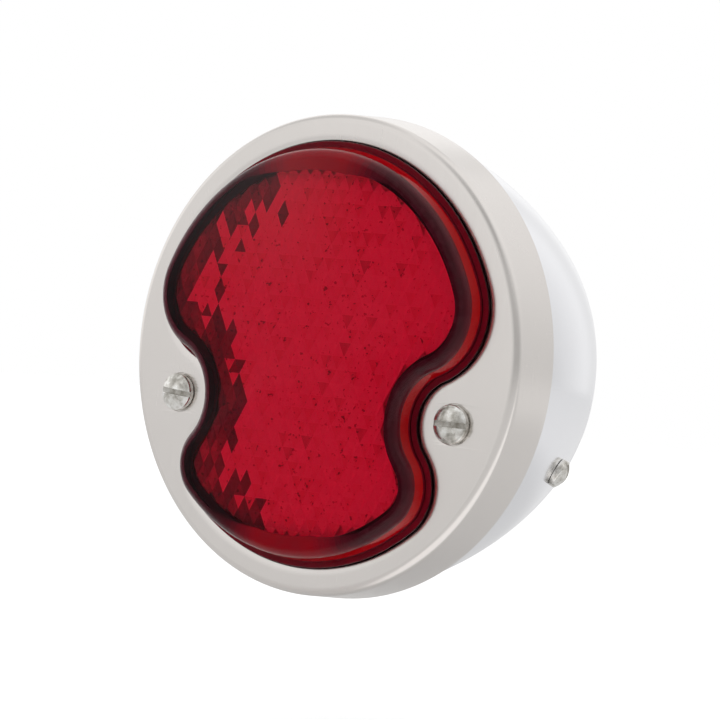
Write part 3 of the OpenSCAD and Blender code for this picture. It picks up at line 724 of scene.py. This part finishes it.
# ---------------------------------------------------------------- screws
def slotted_head(r, side, dome, slot_w, slot_d, turn, place, shank, length):
    """A worn slotted head with rounded edges, its seat on z = 0, set in place.

    The brow is the rounding between its side and its dome.
    """
    foot_edge, brow, straight = 0.08, 0.35, 0.8
    points, brow_steps, dome_steps = 64, 6, 14
    sphere, top, shoulder = (r * r + dome * dome) / (2 * dome), side + dome, side * straight
    dome_turn = math.asin((r - brow) / sphere)
    dome_foot = top - sphere + sphere * math.cos(dome_turn)
    prof = [(0.0, -length), (shank, -length), (shank, 0.0), (r - foot_edge, 0.0), (r, foot_edge),
            (r, shoulder)]
    for k in range(1, brow_steps):
        t = k / brow_steps
        prof.append((r - brow * t * t, shoulder + (dome_foot - shoulder) * (1 - (1 - t) ** 2)))
    for k in range(dome_steps, -1, -1):
        a = dome_turn * k / dome_steps
        prof.append((sphere * math.sin(a), top - sphere + sphere * math.cos(a)))
    verts, faces, loops = [], [], []
    for pr, pz in prof:
        n = 1 if pr < 1e-6 else points
        loops.append((len(verts), n))
        verts += [(x * MM, y * MM, pz * MM) for x, y in circle(pr, n)]
    for (a, na), (b, nb) in zip(loops, loops[1:]):
        for i in range(points):
            j = (i + 1) % points
            if na == 1:
                faces.append((a, b + j, b + i))
            elif nb == 1:
                faces.append((a + i, a + j, b))
            else:
                faces.append((a + i, a + j, b + j, b + i))
    me = bpy.data.meshes.new("head")
    me.from_pydata(verts, [], faces)
    o = add_object("head", me)
    cut = bpy.data.meshes.new("cut")
    cut_h = 4.0
    bm = bmesh.new()
    bmesh.ops.create_cube(bm, size=1.0)
    for v in bm.verts:
        v.co = Vector((v.co.x * 3 * r * MM, v.co.y * slot_w * MM,
                       (v.co.z * cut_h + top - slot_d + cut_h / 2) * MM))
    bm.to_mesh(cut)
    bm.free()
    c = add_object("cut", cut)
    c.rotation_euler = (0, 0, math.radians(turn))
    mod = o.modifiers.new("slot", "BOOLEAN")
    mod.operation, mod.object, mod.solver = "DIFFERENCE", c, "EXACT"
    bev = o.modifiers.new("edge", "BEVEL")
    bev.width, bev.segments, bev.limit_method, bev.angle_limit = 0.09 * MM, 2, "ANGLE", 0.7
    out = baked(o)
    # faces inside the slot are marked for painted shade
    slot_shade = []
    for p in out.polygons:
        x, y, z = (v / MM for v in p.center)
        dome_z = top - sphere + math.sqrt(max(0.0, sphere * sphere - x * x - y * y))
        across = abs(cos(turn) * y - sin(turn) * x)
        in_slot = across < slot_w / 2 + 0.02 and top - slot_d - 0.05 < z < dome_z - 0.15
        slot_shade.append(1.0 if in_slot else 0.0)
        p.use_smooth = True
    face_layer(out, "slot_shade", slot_shade)
    out.transform(place)
    out.set_sharp_from_angle(angle=math.radians(40))
    bpy.data.objects.remove(c)
    bpy.data.objects.remove(o)
    return out


def join(name, meshes, material):
    bm = bmesh.new()
    for me in meshes:
        bm.from_mesh(me)
    out = bpy.data.meshes.new(name)
    bm.to_mesh(out)
    bm.free()
    o = add_object(name, out)
    out.materials.clear()
    out.materials.append(material)
    return o


def make_screws():
    heads = []
    for m, turn in ((1, 0), (-1, -4)):
        place = (Matrix.Translation(at(m * SCREW[0], SCREW[1], RECESS_S))
                 @ Matrix.Rotation(math.radians(90), 4, "X"))
        heads.append(slotted_head(HEAD_R, HEAD_SIDE, HEAD_DOME, SLOT_W, SLOT_D, turn, place, SHANK_R,
                                  SCREW_LEN))
    o = join("bezel_screw_pair", heads, SCREW_METAL)
    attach(o, "lamp")
    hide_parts("bezel_screws")
    heads = []
    side_r = SIDE_C[0] + math.sqrt(SIDE_R ** 2 - (SIDE_S - SIDE_C[1]) ** 2)
    tilt = math.asin((SIDE_S - SIDE_C[1]) / SIDE_R)
    for turn in (SIDE_ANGLE, 180 - SIDE_ANGLE):
        place = (Matrix.Rotation(math.radians(turn), 4, "Y") @ Matrix.Translation(at(side_r, 0, SIDE_S))
                 @ Matrix.Rotation(tilt, 4, "Z") @ Matrix.Rotation(math.radians(90), 4, "Y"))
        heads.append(slotted_head(SIDE_HEAD_R, SIDE_HEAD_SIDE, SIDE_HEAD_DOME, SIDE_SLOT_W, SIDE_SLOT_D,
                                  SIDE_SLOT_TURN, place, SIDE_SHANK_R, SIDE_SCREW_LEN))
    o = join("side_screw_pair", heads, SCREW_METAL)
    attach(o, "lamp")
    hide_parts("side_screws")


def make_studs():
    """Round-head studs with rolled threads, their heads inside the bowl."""
    b = Builder()
    n, steps = HOLE_POINTS, 10
    seat, thread = BOWL_DEPTH - BOWL_WALL, STUD_LEN - 0.6
    head = [(STUD_HEAD_R - 0.5, seat - STUD_HEAD_T), (STUD_HEAD_R - 0.12, seat - STUD_HEAD_T + 0.12),
            (STUD_HEAD_R, seat - STUD_HEAD_T + 0.5), (STUD_HEAD_R, seat),
            (STUD_COLLAR_R, seat), (STUD_COLLAR_R, BOWL_DEPTH - 0.1), (STUD_COLLAR_R - 0.1, BOWL_DEPTH)]
    for m in (1, -1):
        c = (m * STUD_X, 0.0)
        loops = b.rings([(circle(r, n, c), s) for r, s in head])
        last = loops[-1]
        count = int(thread / THREAD_PITCH * steps)
        for k in range(count + 1):
            y = thread * k / count
            pts = []
            for i in range(n):
                a = 2 * math.pi * i / n
                phase = (y / THREAD_PITCH - i / n) % 1.0
                cut = THREAD_DEPTH * clamp(1.25 * (1 - abs(2 * phase - 1)) - 0.12)
                fade = clamp(min((thread - y) / 0.5, y / 0.5))
                r = SHANK_R - cut * fade - (0.25 if k == count else 0.0)
                pts.append((c[0] + r * math.cos(a), c[1] + r * math.sin(a)))
            ring = b.loop(pts, BOWL_DEPTH + y)
            b.strip(last, ring)
            last = ring
        tip = b.loop(circle(SHANK_R - 0.85, n, c), BOWL_DEPTH + STUD_LEN)
        b.strip(last, tip)
        b.cap(tip, BOWL_DEPTH + STUD_LEN, c)
        b.cap(loops[0], seat - STUD_HEAD_T, c)
    o = finish_mesh("stud_pair", b.verts, b.faces, 1e-7)
    o.data.set_sharp_from_angle(angle=math.radians(50))
    o.data.materials.append(CAD_LOOKS["zinc"])
    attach(o, "lamp")
    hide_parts("mounting_studs")


# ---------------------------------------------------------------- carried-over solids
# material, dark and light tone, roughness, metallic, scale of the mottling and depth of the skin in metres
CAD_LOOKS = {
    "seat_plate": plain("inner_plate", (0.50, 0.50, 0.50), (0.66, 0.66, 0.66), 0.32, 1.0, 120, 0.00001),
    "reflector": plain("reflector_bright", (0.78, 0.78, 0.78), (0.88, 0.88, 0.88), 0.18, 1.0, 60, 0.00001),
    "lens_gasket": plain("black_rubber", (0.05, 0.045, 0.045), (0.09, 0.08, 0.08), 0.75, 0.0, 500, 0.00003),
    "zinc": plain("zinc_steel", (0.48, 0.48, 0.46), (0.66, 0.66, 0.64), 0.35, 1.0, 500, 0.00001),
    "socket_shell": plain("socket_steel", (0.50, 0.47, 0.41), (0.68, 0.65, 0.58), 0.33, 1.0, 250, 0.00001),
    "fibre": plain("fibre_board", (0.13, 0.07, 0.04), (0.24, 0.14, 0.08), 0.7, 0.0, 900, 0.00003),
    "contact_spring": plain("spring_steel", (0.50, 0.50, 0.50), (0.66, 0.66, 0.66), 0.25, 1.0, 500, 0.00001),
    "brass": plain("brass", (0.62, 0.43, 0.17), (0.80, 0.60, 0.28), 0.28, 1.0, 300, 0.00001),
    "bulb_insulator": plain("black_glass", (0.01, 0.01, 0.012), (0.03, 0.03, 0.035), 0.2, 0.0, 400, 0.00002),
    "bulb_contacts": plain("solder", (0.45, 0.45, 0.46), (0.66, 0.66, 0.67), 0.45, 1.0, 900, 0.00003),
    "glass": plain("clear_glass", (0.93, 0.95, 0.96), (0.97, 0.98, 0.99), 0.03, 0.0, 80, 0.000005,
                   Transmission_Weight=1.0),
    "support_wires": plain("lead_wire", (0.36, 0.36, 0.37), (0.52, 0.52, 0.53), 0.4, 1.0, 900, 0.00001),
    "filaments": plain("tungsten", (0.16, 0.16, 0.17), (0.30, 0.30, 0.31), 0.5, 1.0, 900, 0.00002),
}
# nodes that share a look; any other takes the look of its own name
SHARED = {"bezel_nuts": "zinc", "side_nuts": "zinc", "socket_insulator": "fibre",
          "contact_plate": "fibre", "plate_contacts": "brass", "bulb_base": "brass",
          "bulb_pins": "brass", "bulb_glass": "glass", "bulb_stem": "glass"}


def make_spring():
    """The socket's coil spring; it shortens between its seat and the contact plate as the bulb goes in."""
    low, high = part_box("contact_spring")
    turn_steps, ring = 36, 12
    wire, steps = SPRING_WIRE_R * MM, turn_steps * SPRING_TURNS
    coil_r, front, rear = (high.x - low.x) / 2 - wire, low.y + wire, high.y - wire
    verts, faces = [], []
    for i in range(steps + 1):
        a, y = math.radians(360 / turn_steps * i), front + (rear - front) * i / steps
        for k in range(ring):
            b = 2 * math.pi * k / ring
            r = coil_r + wire * math.cos(b)
            verts.append((r * math.cos(a), y + wire * math.sin(b), r * math.sin(a)))
    for i in range(steps):
        for k in range(ring):
            q = (k + 1) % ring
            faces.append((i * ring + k, i * ring + q, (i + 1) * ring + q, (i + 1) * ring + k))
    faces += [tuple(range(ring)), tuple(range(steps * ring, (steps + 1) * ring))]
    o = finish_mesh("socket_coil", verts, faces, 1e-8)
    o.data.set_sharp_from_angle(angle=math.radians(50))
    o.data.materials.append(CAD_LOOKS["contact_spring"])
    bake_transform(o)
    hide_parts("contact_spring")


def dress_cad():
    for name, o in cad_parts.items():
        look = CAD_LOOKS.get(SHARED.get(name, name))
        if look is not None:
            o.data.materials.clear()
            o.data.materials.append(look)


make_bezel()
make_bowl()
make_lens()
make_optics()
make_lens_edge()
make_screws()
make_studs()
make_spring()
dress_cad()

# ---------------------------------------------------------------- stage, light and camera
scene = bpy.context.scene
scene.view_settings.view_transform = "Standard"


def step(t, value, low, high, gain):
    """A smooth rise from 0 to gain, as value goes from low to high."""
    n = t.nodes.new("ShaderNodeMapRange")
    n.interpolation_type = "SMOOTHSTEP"
    n.inputs["From Min"].default_value, n.inputs["From Max"].default_value = low, high
    n.inputs["To Min"].default_value, n.inputs["To Max"].default_value = 0.0, gain
    t.links.new(value, n.inputs["Value"])
    return n.outputs["Result"]


PAPER = (0.74, 0.74, 0.74, 1)
CAMERA_GLOW, BEHIND_GLOW, AHEAD_GLOW = 0.5, 0.15, 0.4


def backdrop_material():
    """White paper: it takes the object's shadow, and its own brightness adds up to white for the camera.

    The metal sees it lighter behind the lamp and just in front of its right side.
    """
    m = bpy.data.materials.new("studio_white")
    m.use_nodes = True
    t = m.node_tree
    t.nodes.clear()
    out = t.nodes.new("ShaderNodeOutputMaterial")
    add = t.nodes.new("ShaderNodeAddShader")
    paper = t.nodes.new("ShaderNodeBsdfDiffuse")
    paper.inputs["Color"].default_value = PAPER
    glow = t.nodes.new("ShaderNodeEmission")
    path = t.nodes.new("ShaderNodeLightPath")
    place = t.nodes.new("ShaderNodeSeparateXYZ")
    t.links.new(t.nodes.new("ShaderNodeNewGeometry").outputs["Position"], place.inputs[0])
    # where each lighter patch begins and is full, in metres on the floor
    x, y = place.outputs["X"], place.outputs["Y"]
    behind = step(t, y, 0.12, 0.28, BEHIND_GLOW)
    ahead = calc(t, "MULTIPLY", step(t, y, -0.055, -0.07, AHEAD_GLOW), step(t, y, -0.16, -0.12, 1.0))
    ahead = calc(t, "MULTIPLY", ahead, step(t, x, 0.0, 0.02, 1.0))
    seen = calc(t, "MULTIPLY", calc(t, "ADD", behind, ahead), path.outputs["Is Glossy Ray"])
    camera = calc(t, "MULTIPLY", path.outputs["Is Camera Ray"], CAMERA_GLOW)
    t.links.new(calc(t, "ADD", seen, camera), glow.inputs["Strength"])
    t.links.new(paper.outputs[0], add.inputs[0])
    t.links.new(glow.outputs[0], add.inputs[1])
    t.links.new(add.outputs[0], out.inputs["Surface"])
    return m


def make_floor():
    level, half = CAD_LOW.z - 0.03, 2.0  # metres
    corners = [(-half, -half, level), (half, -half, level), (half, half, level), (-half, half, level)]
    me = bpy.data.meshes.new("floor")
    me.from_pydata(corners, [], [(0, 1, 2, 3)])
    o = add_object("floor", me)
    me.materials.append(backdrop_material())


# direction, where it begins and is full as a cosine, and what it adds to the plain level
STUDIO = [((-0.6, 0.8, 0.0), 0.5, 1.0, 0.28),
          ((0.0, 0.0, 1.0), -0.1, 0.9, 0.25),
          ((0.6, -0.8, 0.0), 0.3, 0.98, -0.25),
          ((-0.34, -0.94, 0.0), 0.8, 0.99, 0.18),
          ((0.15, -0.6, 0.79), 0.88, 0.99, -0.3),
          ((-0.6, -0.05, 0.8), 0.88, 0.99, -0.25),
          ((-0.98, -0.2, 0.0), 0.86, 0.99, 0.3)]
PLAIN_LEVEL = 0.67
# a narrow upright flag behind the lamp, square to this direction
STRIP_SIDE, STRIP_GAIN = (0.966, 0.26, 0.0), -0.14


def make_world():
    """A bright studio: lighter behind and above, greyer low down and in front, and white to the camera."""
    w = bpy.data.worlds.new("studio")
    scene.world = w
    w.use_nodes = True
    t = w.node_tree
    bg = t.nodes["Background"]
    bg.inputs["Color"].default_value = (1, 1, 1, 1)
    coords = t.nodes.new("ShaderNodeTexCoord")

    def towards(direction):
        n = t.nodes.new("ShaderNodeVectorMath")
        n.operation = "DOT_PRODUCT"
        t.links.new(coords.outputs["Generated"], n.inputs[0])
        n.inputs[1].default_value = Vector(direction).normalized()
        return n.outputs["Value"]

    level = calc(t, "ADD", 0.0, PLAIN_LEVEL)
    for direction, low, high, gain in STUDIO:
        level = calc(t, "ADD", level, step(t, towards(direction), low, high, gain))
    strip = step(t, calc(t, "ABSOLUTE", towards(STRIP_SIDE)), 0.16, 0.03, STRIP_GAIN)
    level = calc(t, "ADD", level, calc(t, "MULTIPLY", strip, step(t, towards((0, 1, 0)), 0.1, 0.4, 1.0)))
    path = t.nodes.new("ShaderNodeLightPath")
    t.links.new(calc(t, "MAXIMUM", level, path.outputs["Is Camera Ray"]), bg.inputs["Strength"])


def make_top_light():
    """A large soft light above and in front, which the metal doesn't mirror."""
    place, size, watts = Vector((-0.2, -0.5, 1.1)), 1.2, 2.5
    d = bpy.data.lights.new("top light", "AREA")
    d.shape, d.size, d.size_y, d.energy = "RECTANGLE", size, size, watts
    o = add_object("top light", d)
    o.location = place
    o.rotation_mode = "QUATERNION"
    o.rotation_quaternion = (-place).to_track_quat("-Z", "Y")
    o.visible_glossy = False


def make_camera():
    """The photograph's viewing angle: from the right, level with the lens and a little rolled."""
    azimuth, elevation, roll = 0.64524, 0.0075, 0.09774  # radians
    distance, focal, right_shift, up_shift = 543.1, 123.46, 9.65, -1.37
    back = Vector((math.sin(azimuth) * math.cos(elevation), -math.cos(azimuth) * math.cos(elevation),
                   math.sin(elevation)))
    level = Vector((math.cos(azimuth), math.sin(azimuth), 0))
    upright = back.cross(level)
    c, s = math.cos(roll), math.sin(roll)
    right, up = c * level + s * upright, c * upright - s * level
    cam = bpy.data.cameras.new("camera")
    cam.lens, cam.sensor_width = focal, 36
    cam.clip_start, cam.clip_end = 0.01, 20
    place = (back * distance + right * right_shift + up * up_shift) * MM + Vector((0, FACE_Y, 0))
    o = add_object("camera", cam)
    o.matrix_world = Matrix(((right.x, up.x, back.x, place.x), (right.y, up.y, back.y, place.y),
                             (right.z, up.z, back.z, place.z), (0, 0, 0, 1)))
    scene.camera = o


make_floor()
make_world()
make_top_light()
make_camera()
